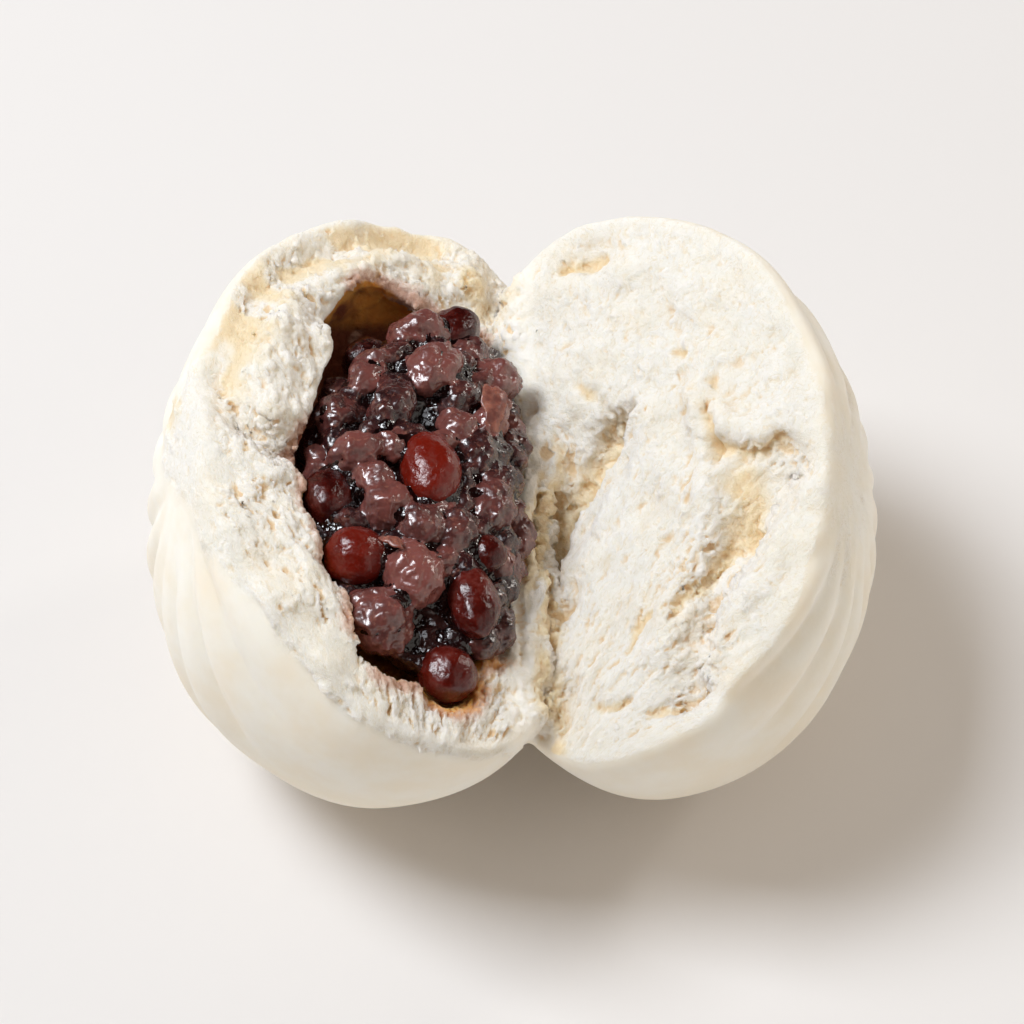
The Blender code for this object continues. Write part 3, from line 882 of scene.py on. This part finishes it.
def doughMaterial():
    made, graph = shaderGraph("steamed dough")
    place = graph.node("ShaderNodeTexCoord", out="Object")
    crumb, stain, hollow, recess = (graph.kept(name) for name in ("crumb", "stain", "hollow", "recess"))
    bend = graph.vector("SCALE", graph.wobble(place, 1 / (3 * mm), 3.0, 0.6), scale=3.0 * mm)
    fibre = graph.vector("ADD", graph.kept("fibre", "Vector"), bend)
    strokes = graph.noise(graph.vector("MULTIPLY", fibre, (1.0, 0.18, 0.8)), 1 / (0.24 * mm), 3.0, 0.65)
    strokes = (strokes - 0.5) * graph.kept("drawn") + 0.5
    mottle = graph.noise(place, 1 / (9 * mm), 3.0, 0.6)
    fine = graph.noise(place, 1 / (0.7 * mm), 3.0, 0.6)
    foam = graph.cells(place, 1 / (0.5 * mm))
    back, height = graph.part(place, "Y"), graph.part(place, "Z")
    skin = graph.mix(mottle.ease(0.35, 0.7), srgb(252, 244, 233), srgb(248, 237, 220))
    # painted shade: the skin is painted warmer and darker towards the bottom
    skin = graph.mix(height.ease(34 * mm, 12 * mm) * 0.6, skin, srgb(248, 232, 206))
    crumbColor = graph.mix(mottle.ease(0.4, 0.75), srgb(255, 247, 238), srgb(254, 242, 228))
    # painted shade in the low grooves between the drawn fibres
    crumbColor = graph.mix(strokes.ease(0.52, 0.30) * 0.45, crumbColor, srgb(236, 219, 188))
    # painted shade in the hollows and pockets of the crumb
    hollowShade = (hollow + graph.kept("pocket") * 0.25).ease(0.0, 0.40)
    crumbColor = graph.mix(hollowShade * 0.8, crumbColor, srgb(236, 212, 168))
    warm = graph.kept("warm")
    # painted warm shade in the furrow, grooves and top, and a darker painted shade in the crease
    crumbColor = graph.mix(warm.ease(0.2, 1.0) * 0.7, crumbColor, srgb(243, 219, 170))
    crumbColor = graph.mix(warm.ease(0.9, 1.6) * 0.6, crumbColor, srgb(218, 192, 152))
    # painted shade deep in the recesses of the crumb
    crumbColor = graph.mix(recess.ease(0.25, 1.9), crumbColor, srgb(224, 190, 138))
    color = graph.mix(crumb.ease(0.3, 0.7), skin, crumbColor)
    # painted glow: the wall of the hollow is painted bright where it is thin, as if light shone through it,
    # under its upper lip and at its foot
    glow = (back * 0.8 + height * 0.6).ease(41 * mm, 43.5 * mm)
    glow = glow + back.ease(-4 * mm, -14 * mm) * height.ease(29 * mm, 35 * mm)
    glow = glow * graph.noise(place, 1 / (6 * mm), 2.0).ease(0.3, 0.5)
    wall = graph.mix(glow, srgb(128, 72, 50), srgb(244, 172, 84))
    lips = (graph.kept("lips") + (fine - 0.5) * 0.7).ease(0.2, 0.9)
    color = graph.mix(lips * 0.75, color, srgb(188, 134, 106))
    # the juice stain on the hollow's wall, carrying the painted glow
    stainAndGlow = (stain + (fine - 0.5) * 0.5).ease(0.25, 0.75)
    color = graph.mix(stainAndGlow, color, wall)
    shader = graph.shader
    graph.feed(shader, "Base Color", color)
    graph.feed(shader, "Roughness", crumb.ease(0.3, 0.7, 0.55, 0.9))
    shader.inputs["Specular IOR Level"].default_value = 0.25
    soften(shader, 0.8, (1.0, 0.95, 0.88), 1.2 * mm)
    # fine drawn fibres and foam in the crumb, faint grain in the skin
    fuzz = graph.noise(place, 1 / (0.25 * mm), 3.0, 0.7)
    relief = (fuzz * 0.3 + foam * 0.2 + strokes * 1.1) * crumb + fine * (1 - crumb) * 0.10
    graph.bump(relief, 1.0, 0.3 * mm)
    return made


# ---- filling ----

mound = {
    "along": -4.0,
    "out": 16.8,
    "proud": 3.5,
    "tilt": math.radians(10),
    "topBend": 4.5,
    "bottomBend": 1.0,
    "length": 26.0,
    "width": 12.6,
    "rise": 6.0,
    "depth": 11.0,
    "roughness": 0.9,
    "dip": 2.4,
    "smallBeans": 40,
    "voxel": 0.27 * mm,
}

# each bean that shows: place along and across the mound as shares of it, length, width and turn,
# how it looks, and how light it is
beans = (
    (0.93, -0.07, 7.4, 6.2, 20, "skin", 0.35),
    (0.84, 0.28, 5.6, 7.6, 5, "coat", 0.75),
    (0.55, 0.06, 7.8, 7.4, 0, "coat", 0.8),
    (0.51, 0.63, 7.6, 4.9, -15, "coat", 0.65),
    (0.28, 0.40, 7.2, 5.4, -10, "coat", 0.35),
    (0.62, -0.59, 7.0, 6.6, 10, "coat", 0.7),
    (0.25, 0.85, 6.0, 5.6, 0, "coat", 0.35),
    (0.21, -0.24, 5.4, 4.8, 30, "coat", 0.7),
    (-0.01, 0.68, 4.8, 7.6, 15, "coat", 0.65),
    (0.03, 0.38, 4.4, 4.0, 0, "coat", 0.6),
    (-0.08, 0.02, 10.2, 7.2, 8, "skin", 1.0),
    (0.09, -0.45, 7.0, 5.0, 10, "coat", 0.25),
    (-0.01, -0.66, 4.8, 6.0, 0, "coat", 0.3),
    (0.29, -0.92, 6.6, 4.4, 0, "coat", 0.3),
    (-0.21, 0.90, 7.6, 6.2, 10, "skin", 0.35),
    (-0.16, 0.55, 4.4, 5.0, 0, "coat", 0.6),
    (-0.28, 0.42, 5.4, 5.8, 20, "coat", 0.7),
    (-0.16, -0.61, 7.0, 6.2, 0, "coat", 0.5),
    (-0.16, -0.97, 6.8, 4.6, 0, "coat", 0.6),
    (-0.37, 0.11, 5.2, 5.4, 30, "coat", 0.55),
    (-0.36, -0.24, 6.2, 4.8, -20, "coat", 0.4),
    (-0.53, 0.68, 7.0, 7.5, 0, "skin", 0.8),
    (-0.42, -0.56, 4.6, 4.4, 0, "skin", 0.4),
    (-0.61, 0.17, 8.0, 6.8, 15, "coat", 1.0),
    (-0.68, -0.42, 9.2, 6.2, 8, "skin", 0.5),
    (-0.66, -0.75, 7.6, 4.8, 0, "coat", 0.45),
    (-0.81, 0.44, 7.6, 8.2, 40, "coat", 0.6),
    (-0.98, -0.25, 6.6, 7.0, 0, "skin", 0.55),
    (0.76, 0.70, 5.8, 5.6, 0, "skin", 0.1),
    (0.15, 1.00, 5.6, 4.4, 0, "skin", 0.1),
    (0.35, -0.60, 8.4, 4.4, -8, "coat", 1.0),
)

# places where nothing but dark syrup shows, and how wide they are
bareSpots = (
    (-0.78, 0.04, 5.0),
    (-0.62, 0.45, 3.0),
    (-0.98, 0.15, 4.0),
    (0.30, 0.12, 4.0),
    (-0.40, -0.05, 2.4),
)


def moundPoint(across, aside, lift):
    bend = mound["topBend"] if across > 0 else mound["bottomBend"]
    aside -= bend * (across / mound["length"]) ** 2
    tilt = mound["tilt"]
    out = mound["out"] + aside * math.cos(tilt) + lift * math.sin(tilt)
    proud = mound["proud"] - aside * math.sin(tilt) + lift * math.cos(tilt)
    return halfMatrix(left) @ Vector((proud, mound["along"] + across, out))


def moundSpace(points):
    local = toHalf(points, left)
    across = local[:, 1] - mound["along"]
    out, proud = local[:, 2] - mound["out"], local[:, 0] - mound["proud"]
    tilt = mound["tilt"]
    bend = np.where(across > 0, mound["topBend"], mound["bottomBend"])
    aside = out * math.cos(tilt) - proud * math.sin(tilt) + bend * (across / mound["length"]) ** 2
    return np.stack([across, aside, out * math.sin(tilt) + proud * math.cos(tilt)], axis=1)


def facingAt(rise, turn):
    return Vector((math.cos(rise) * math.cos(turn), math.cos(rise) * math.sin(turn), math.sin(rise)))


def skinRings(shape, rings, low, high):
    rings = [[shape.verts.new(point) for point in ring] for ring in rings]
    count = len(rings[0])
    for below, above in zip(rings, rings[1:]):
        for k in range(count):
            after = (k + 1) % count
            shape.faces.new((below[k], below[after], above[after], above[k]))
    for ring, pole in ((rings[0], shape.verts.new(low)), (rings[-1], shape.verts.new(high))):
        for k in range(count):
            shape.faces.new((pole, ring[k], ring[(k + 1) % count]))


def addMound(shape, segments=96, rings=48):
    rows = []
    bare = [(onMound(across, aside, 0), reach) for across, aside, reach in bareSpots]
    for ring in range(1, rings):
        rise = (ring / rings - 0.5) * math.pi
        height = mound["rise"] if rise > 0 else mound["depth"]
        row = []
        for k in range(segments):
            turn = 2 * math.pi * k / segments
            facing = facingAt(rise, turn)
            lump = mound["roughness"] * noise.fractal(facing * 3.5, 0.8, 2.0, 2) - 0.8
            if rise > 0:
                across, aside = facing.x * mound["length"], facing.y * mound["width"]
                for spot, reach in bare:
                    away = (across - spot.x) ** 2 + (aside - spot.y) ** 2
                    lump -= mound["dip"] * math.exp(-away / (0.7 * reach) ** 2)
            across, aside = facing.x * (mound["length"] + lump), facing.y * (mound["width"] + lump)
            row.append(moundPoint(across, aside, facing.z * (height + lump)))
        rows.append(row)
    skinRings(shape, rows, moundPoint(0, 0, -mound["depth"]), moundPoint(0, 0, mound["rise"]))


def onMound(across, aside, sunk):
    reach = math.hypot(across, aside)
    if reach > 1:
        across, aside = across / reach, aside / reach
    lift = (mound["rise"] + 1.2) * math.sqrt(max(1 - across**2 - aside**2, 0.0))
    return Vector((across * mound["length"], aside * mound["width"], lift - sunk))


def allBeans():
    placed = []

    def add(size, turn, place, look, tone):
        bean = {"size": size, "turn": turn, "place": place, "look": look, "tone": tone, "seed": len(placed)}
        placed.append(bean)

    for across, aside, length, width, turn, look, tone in beans:
        place = onMound(across, aside, width * (0.10 if look == "coat" else 0.06))
        add((length, width, width * 0.9), math.radians(turn), place, look, tone)
    # smaller ones fill in wherever there is room
    bare = [(onMound(across, aside, 0), reach) for across, aside, reach in bareSpots]
    draw = random.Random(7)
    tries = 0
    while len(placed) < len(beans) + mound["smallBeans"] and tries < 6000:
        tries += 1
        around = draw.uniform(0, 2 * math.pi)
        reach = math.sqrt(draw.uniform(0, 0.95))
        size = draw.uniform(3.2, 5.4)
        turn, tone = draw.uniform(0, math.pi), draw.uniform(0.1, 0.7)
        place = onMound(reach * math.cos(around), reach * math.sin(around), size * 0.28)
        if any((place - spot).length < clear for spot, clear in bare):
            continue
        if all((place - other["place"]).length > 0.38 * (size + other["size"][1]) for other in placed):
            add((size * 1.2, size, size * 0.85), turn, place, "coat", tone)
    return placed


def addBean(shape, bean, dents, segments=48, rings=30):
    length, width, height = bean["size"]
    turn, place = bean["turn"], bean["place"]
    draw = random.Random(bean["seed"])
    flatSide = draw.uniform(0, 2 * math.pi)
    rows = []

    def point(rise, around):
        facing = facingAt(rise, around)
        swollen = 1 + dents * noise.fractal(facing * 1.4 + Vector((bean["seed"] * 7.1, 0, 0)), 0.9, 2.1, 3)
        swollen -= 0.06 * max(math.cos(around - flatSide) * math.cos(rise), 0) ** 2
        blunt = math.cos(rise) ** 0.88
        across = length / 2 * blunt * math.cos(around) * swollen
        aside = width / 2 * blunt * math.sin(around) * swollen
        aside += 0.05 * width * (2 * across / length) ** 2
        turned = (
            across * math.cos(turn) - aside * math.sin(turn),
            across * math.sin(turn) + aside * math.cos(turn),
        )
        lift = height / 2 * math.sin(rise) * swollen
        return moundPoint(place.x + turned[0], place.y + turned[1], place.z + lift)

    for ring in range(1, rings):
        rise = (ring / rings - 0.5) * math.pi
        rows.append([point(rise, 2 * math.pi * k / segments) for k in range(segments)])
    skinRings(shape, rows, point(-math.pi / 2, 0), point(math.pi / 2, 0))


def meshOf(name, build):
    shape = bmesh.new()
    build(shape)
    bmesh.ops.recalc_face_normals(shape, faces=shape.faces)
    mesh = bpy.data.meshes.new(name)
    shape.to_mesh(mesh)
    shape.free()
    return newPiece(name, mesh)


def keepTones(mesh, chosen):
    # each point takes the tone of the bean it lies in, and how far it is inside that bean
    points = moundSpace(coordinates(mesh))
    best = np.full(len(points), 9.0)
    tone = np.full(len(points), 0.3)
    for bean in chosen:
        length, width, height = bean["size"]
        away = points - np.array(bean["place"])
        cos, sin = math.cos(bean["turn"]), math.sin(bean["turn"])
        across = (away[:, 0] * cos + away[:, 1] * sin) / (length / 2)
        aside = (away[:, 1] * cos - away[:, 0] * sin) / (width / 2)
        reach = np.sqrt(across**2 + aside**2 + (away[:, 2] / (height / 2)) ** 2)
        tone = np.where(reach < best, bean["tone"], tone)
        best = np.minimum(best, reach)
    keep(mesh, "tone", tone)
    keep(mesh, "lump", smooth(1.35, 1.02, best))


pasteSizes = {"Bit Density": 0.3 / mm**2, "Bit Size": 0.5 * mm, "Seed": 2}


def bitsTree(material):
    # bits of mashed bean stuck to the lumps
    tree, graph = geometryTree("bean bits", {**pasteSizes, "Material": material})
    ask = lambda label: given(graph, label)
    place = graph.node("GeometryNodeInputPosition")
    clump = graph.noise(place, 1 / (4 * mm), 2.0, 0.5).ease(0.5, 0.62)
    turn = randomVector(graph, (0, 0, 0), (6.3, 6.3, 6.3), 4)
    size = randomVector(graph, (0.5, 0.5, 0.4), (1.6, 1.2, 1.0), 3)
    size = graph.vector("SCALE", size, scale=ask("Bit Size"))
    bit = graph.node("GeometryNodeMeshIcoSphere", {}, {"Radius": 1.0, "Subdivisions": 2})
    bits = scatter(graph, ask("Bit Density") * clump, ask("Seed"), bit, turn, size)
    return endTree(graph, joinParts(graph, ask("Geometry"), bits))


pasteRelief = {
    "Lump Size": 2.2 * mm,
    "Lump Height": 0.75 * mm,
    "Wrinkle Size": 1.5 * mm,
    "Wrinkle Height": 0.12 * mm,
    "Grain Size": 0.6 * mm,
    "Grain Height": 0.04 * mm,
}


def wrinkled(graph, place):
    size = 1 / given(graph, "Wrinkle Size")
    return 0.5 - (graph.noise(place, size, 2.0, 0.5, 0.6) - 0.5).maths("ABSOLUTE") * 5


def pasteTree(material):
    tree, graph = geometryTree("paste relief", {**pasteRelief, "Material": material})
    ask = lambda label: given(graph, label)
    place = graph.node("GeometryNodeInputPosition")
    lump = named(graph, "lump").ease(0.0, 1.0, 0.35, 1.0)
    lumps = graph.noise(place, 1 / ask("Lump Size"), 2.0, 0.5, 0.4) - 0.5
    grain = graph.noise(place, 1 / ask("Grain Size"), 2.0, 0.5) - 0.5
    fine = wrinkled(graph, place) * ask("Wrinkle Height") + grain * ask("Grain Height") * 2
    return endTree(graph, pushOut(graph, lumps * ask("Lump Height") * 2 + fine * lump))


def buildPaste(placed, material):
    coated = [bean for bean in placed if bean["look"] != "skin"]

    def build(shape):
        addMound(shape)
        for bean in coated:
            addBean(shape, bean, 0.16)

    paste = meshOf("beanPaste", build)
    runTree(paste, bitsTree(material), {**pasteSizes, "Material": material})
    remesh(paste, mound["voxel"])
    mesh = paste.data
    setCoordinates(mesh, relax(mesh, coordinates(mesh), 9, 0.5))
    keepTones(mesh, coated)
    runTree(paste, pasteTree(material), {**pasteRelief, "Material": material})
    mesh = paste.data
    keep(mesh, "hollow", hollows(mesh, coordinates(mesh), 60))
    keep(mesh, "recess", hollows(mesh, coordinates(mesh), 260))
    return paste


skinRelief = {
    "Wrinkle Size": 1.7 * mm,
    "Wrinkle Height": 0.05 * mm,
    "Dent Size": 3.5 * mm,
    "Dent Height": 0.15 * mm,
}


def skinTree(material):
    tree, graph = geometryTree("bean skin relief", {**skinRelief, "Material": material})
    ask = lambda label: given(graph, label)
    place = graph.node("GeometryNodeInputPosition")
    dents = graph.noise(place, 1 / ask("Dent Size"), 1.0, 0.5) - 0.5
    height = wrinkled(graph, place) * ask("Wrinkle Height") + dents * ask("Dent Height") * 2
    return endTree(graph, pushOut(graph, height))


def buildBeans(placed, material):
    chosen = [bean for bean in placed if bean["look"] == "skin"]

    def build(shape):
        for bean in chosen:
            addBean(shape, bean, 0.06, 80, 50)

    whole = meshOf("wholeBeans", build)
    keepTones(whole.data, chosen)
    runTree(whole, skinTree(material), {**skinRelief, "Material": material})
    return whole


syrupLook = {"voxel": 0.4 * mm, "rounds": 22, "shrink": 0.2 * mm, "waveSize": 1.6 * mm, "wave": 0.35 * mm}


def buildSyrup(placed):
    # the wet film between the beans: all of them together, smoothed until only the gaps show it
    def build(shape):
        addMound(shape)
        for bean in placed:
            addBean(shape, bean, 0.08, 32, 20)

    syrup = meshOf("beanSyrup", build)
    remesh(syrup, syrupLook["voxel"])
    mesh = syrup.data
    points = relax(mesh, coordinates(mesh), syrupLook["rounds"], 0.6)
    wave = np.array([noise.noise(Vector(point) / syrupLook["waveSize"]) for point in points])
    setCoordinates(mesh, points)
    lift = wave * syrupLook["wave"] - syrupLook["shrink"]
    setCoordinates(mesh, points + normals(mesh) * lift[:, None])
    return syrup


flakes = (
    # place along and across, lift, radius, turn and tilt
    (0.36, -0.56, 3.9, 3.2, 12, -14),
    (-0.53, 0.44, 4.2, 1.5, 60, 20),
)


def addFlake(shape, across, aside, lift, radius, turn, tilt, seed):
    draw = random.Random(seed)
    place = onMound(across, aside, -lift + 2.0)
    matrix = (
        Matrix.Translation(place)
        @ Matrix.Rotation(math.radians(turn), 4, "Z")
        @ Matrix.Rotation(math.radians(tilt), 4, "Y")
    )
    phase = draw.uniform(0, 6)
    steps, around = 8, 40

    def sheet(share, angle, side):
        ragged = 1 + 0.16 * math.sin(3 * angle + phase) + 0.07 * math.sin(7 * angle + 2 * phase)
        reach = radius * share * ragged
        x, y = reach * math.cos(angle), 0.48 * reach * math.sin(angle)
        curl = 0.16 * (x * x + 0.6 * y * y) / radius + 0.2 * noise.noise(Vector((x, y, seed)) * 0.9)
        thick = 0.22 * (1 - 0.7 * share**3)
        return moundPoint(*(matrix @ Vector((x, y, side * thick - curl))))

    def ring(k, side):
        return [sheet(k / steps, 2 * math.pi * j / around, side) for j in range(around)]

    rings = [ring(k, -1) for k in range(1, steps + 1)] + [ring(k, 1) for k in range(steps, 0, -1)]
    skinRings(shape, rings, sheet(0, 0, -1), sheet(0, 0, 1))


def buildFlakes():
    def build(shape):
        for k, flake in enumerate(flakes):
            addFlake(shape, *flake, k)

    return meshOf("beanFlakes", build)


def pasteMaterial():
    made, graph = shaderGraph("bean paste")
    place = graph.node("ShaderNodeTexCoord", out="Object")
    patches = graph.noise(place, 1 / (2.6 * mm), 3.0, 0.6)
    specks = graph.noise(place, 1 / (0.7 * mm), 3.0, 0.6)
    light = (graph.kept("tone") + (patches - 0.5) * 1.1).ease(0.05, 1.0)
    color = graph.mix(light, srgb(40, 12, 15), srgb(128, 75, 69))
    color = graph.mix(specks.ease(0.55, 0.72) * 0.4, color, srgb(166, 112, 94))
    # darker wet paste between the lumps, with painted shade in the hollows between them
    film = (1 - graph.kept("lump").ease(0.2, 0.9)) * 0.6 + graph.kept("hollow").ease(0.0, 0.5) * 0.9
    color = graph.mix(film.ease(0.05, 0.75) * 0.92, color, srgb(28, 11, 12))
    # painted shade deep in the recesses between the lumps
    color = graph.mix(graph.kept("recess").ease(0.0, 1.0) * 0.8, color, srgb(16, 6, 6))
    shader = graph.shader
    graph.feed(shader, "Base Color", color)
    wet = (film + (patches - 0.45) * 1.6).ease(0.0, 0.4)
    graph.feed(shader, "Roughness", wet * -0.10 + 0.27)
    soften(shader, 0.2, (1.0, 0.35, 0.25), 0.9 * mm)
    shader.inputs["Specular IOR Level"].default_value = 1.0
    grit = graph.noise(place, 1 / (0.5 * mm), 2.0, 0.5)
    wave = graph.noise(place, 1 / (1.9 * mm), 2.0, 0.5)
    graph.bump(grit * 0.08 + wave, 0.9, 0.48 * mm)
    return made


def beanMaterial():
    made, graph = shaderGraph("bean skin")
    place = graph.node("ShaderNodeTexCoord", out="Object")
    patches = graph.noise(place, 1 / (3.2 * mm), 3.0, 0.6)
    specks = graph.noise(place, 1 / (0.6 * mm), 3.0, 0.65)
    light = (graph.kept("tone") + (patches - 0.5) * 0.8).ease(0.0, 1.1)
    color = graph.mix(light, srgb(32, 8, 8), srgb(112, 26, 14))
    # a thin cloudy film of paste on the skin
    film = (patches * 0.6 + specks * 0.5).ease(0.50, 0.78)
    color = graph.mix(film * 0.55, color, srgb(116, 62, 56))
    shader = graph.shader
    graph.feed(shader, "Base Color", color)
    graph.feed(shader, "Roughness", film * 0.14 + 0.13)
    soften(shader, 0.3, (1.0, 0.25, 0.15), 1.5 * mm)
    shader.inputs["Specular IOR Level"].default_value = 0.55
    grit = graph.noise(place, 1 / (0.4 * mm), 3.0, 0.65)
    wave = graph.noise(place, 1 / (1.6 * mm), 2.0, 0.5)
    graph.bump(grit * 0.4 + wave * 0.5, 0.6, 0.3 * mm)
    return made


def syrupMaterial():
    made, graph = shaderGraph("bean syrup")
    place = graph.node("ShaderNodeTexCoord", out="Object")
    patches = graph.noise(place, 1 / (2.2 * mm), 3.0, 0.6)
    color = graph.mix(patches.ease(0.35, 0.7), srgb(16, 6, 6), srgb(44, 20, 19))
    shader = graph.shader
    graph.feed(shader, "Base Color", color)
    graph.feed(shader, "Roughness", patches.ease(0.3, 0.7, 0.05, 0.14))
    shader.inputs["Specular IOR Level"].default_value = 0.8
    graph.bump(graph.noise(place, 1 / (1.3 * mm), 2.0, 0.5), 1.0, 0.6 * mm)
    return made


def flakeMaterial():
    made, graph = shaderGraph("peeled bean skin")
    place = graph.node("ShaderNodeTexCoord", out="Object")
    patches = graph.noise(place, 1 / (1.8 * mm), 3.0, 0.6)
    color = graph.mix(patches.ease(0.35, 0.65), srgb(160, 106, 90), srgb(108, 58, 50))
    shader = graph.shader
    graph.feed(shader, "Base Color", color)
    graph.feed(shader, "Roughness", patches.ease(0.3, 0.7, 0.18, 0.4))
    soften(shader, 0.4, (1.0, 0.4, 0.3), 1.0 * mm)
    graph.bump(patches, 0.5, 0.2 * mm)
    return made


# ---- stage ----

camera = {"elevation": 52.9, "distance": 403.0, "lens": 113.8, "target": (-0.05, 0.54, 29.83)}
# each light: where it stands, its power, size and colour
lights = {
    "key": ((-0.63, 0.12, 1.06), 12.4, 0.5, (0.96, 1.0, 1.06)),
    "fill": ((1.05, -0.45, 0.5), 3.4, 1.4, (1.0, 0.95, 0.88)),
    "glint": ((0.87, 0.61, 0.50), 1.8, 0.20, (1.0, 0.95, 0.88)),
    "card": ((-0.52, 0.0, 1.15), 6.5, 0.95, (0.96, 1.0, 1.06)),
}
roomColor = (0.350, 0.302, 0.256)


def addCamera():
    data = bpy.data.cameras.new("camera")
    data.lens = camera["lens"]
    data.sensor_width = 36
    made = bpy.data.objects.new("camera", data)
    bpy.context.scene.collection.objects.link(made)
    climb = math.radians(camera["elevation"])
    away = Vector((0, -math.cos(climb), math.sin(climb))) * camera["distance"]
    made.location = (Vector(camera["target"]) + away) * mm
    made.rotation_euler = (math.pi / 2 - climb, 0, 0)
    bpy.context.scene.camera = made


def addLight(name, place, power, size, color):
    data = bpy.data.lights.new(name, "AREA")
    data.energy = power
    data.color = color
    data.size = size
    made = bpy.data.objects.new(name, data)
    bpy.context.scene.collection.objects.link(made)
    made.location = place
    made.rotation_euler = (Vector(place) - Vector((0, 0, 0.03))).to_track_quat("Z", "Y").to_euler()
    # the card is only seen mirrored in what is wet
    made.visible_diffuse = name != "card"


def addStage():
    shape = bmesh.new()
    bmesh.ops.create_grid(shape, x_segments=1, y_segments=1, size=3.0)
    mesh = bpy.data.meshes.new("floor")
    shape.to_mesh(mesh)
    shape.free()
    floor = newPiece("floor", mesh)
    made, graph = shaderGraph("floor")
    graph.shader.inputs["Base Color"].default_value = (*srgb(229, 228, 227), 1)
    graph.shader.inputs["Roughness"].default_value = 0.9
    mesh.materials.append(made)
    world = bpy.data.worlds.new("studio")
    world.use_nodes = True
    world.node_tree.nodes["Background"].inputs["Color"].default_value = (*roomColor, 1)
    bpy.context.scene.world = world
    world.cycles_visibility.glossy = False
    for name, light in lights.items():
        addLight(name, *light)
    bpy.context.scene.view_settings.view_transform = "Standard"


def finishPiece(piece, material, slot, *nodes):
    piece.data.materials.clear()
    piece.data.materials.append(material)
    piece.data.shade_smooth()
    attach(piece, "root")
    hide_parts(*nodes)


addCamera()
addStage()
print("stage set")

bread = doughMaterial()
finishPiece(buildDough(bread), bread, "steamed_dough", "steamed_dough")

placed = allBeans()
paste, beanSkin = pasteMaterial(), beanMaterial()
finishPiece(buildPaste(placed, paste), paste, "bean_filling", "bean_filling")
finishPiece(buildBeans(placed, beanSkin), beanSkin, "bean_filling", "bean_filling")
finishPiece(buildSyrup(placed), syrupMaterial(), "bean_filling", "bean_filling")
finishPiece(buildFlakes(), flakeMaterial(), "bean_filling", "bean_filling")
print("filling made:", len(placed), "beans")
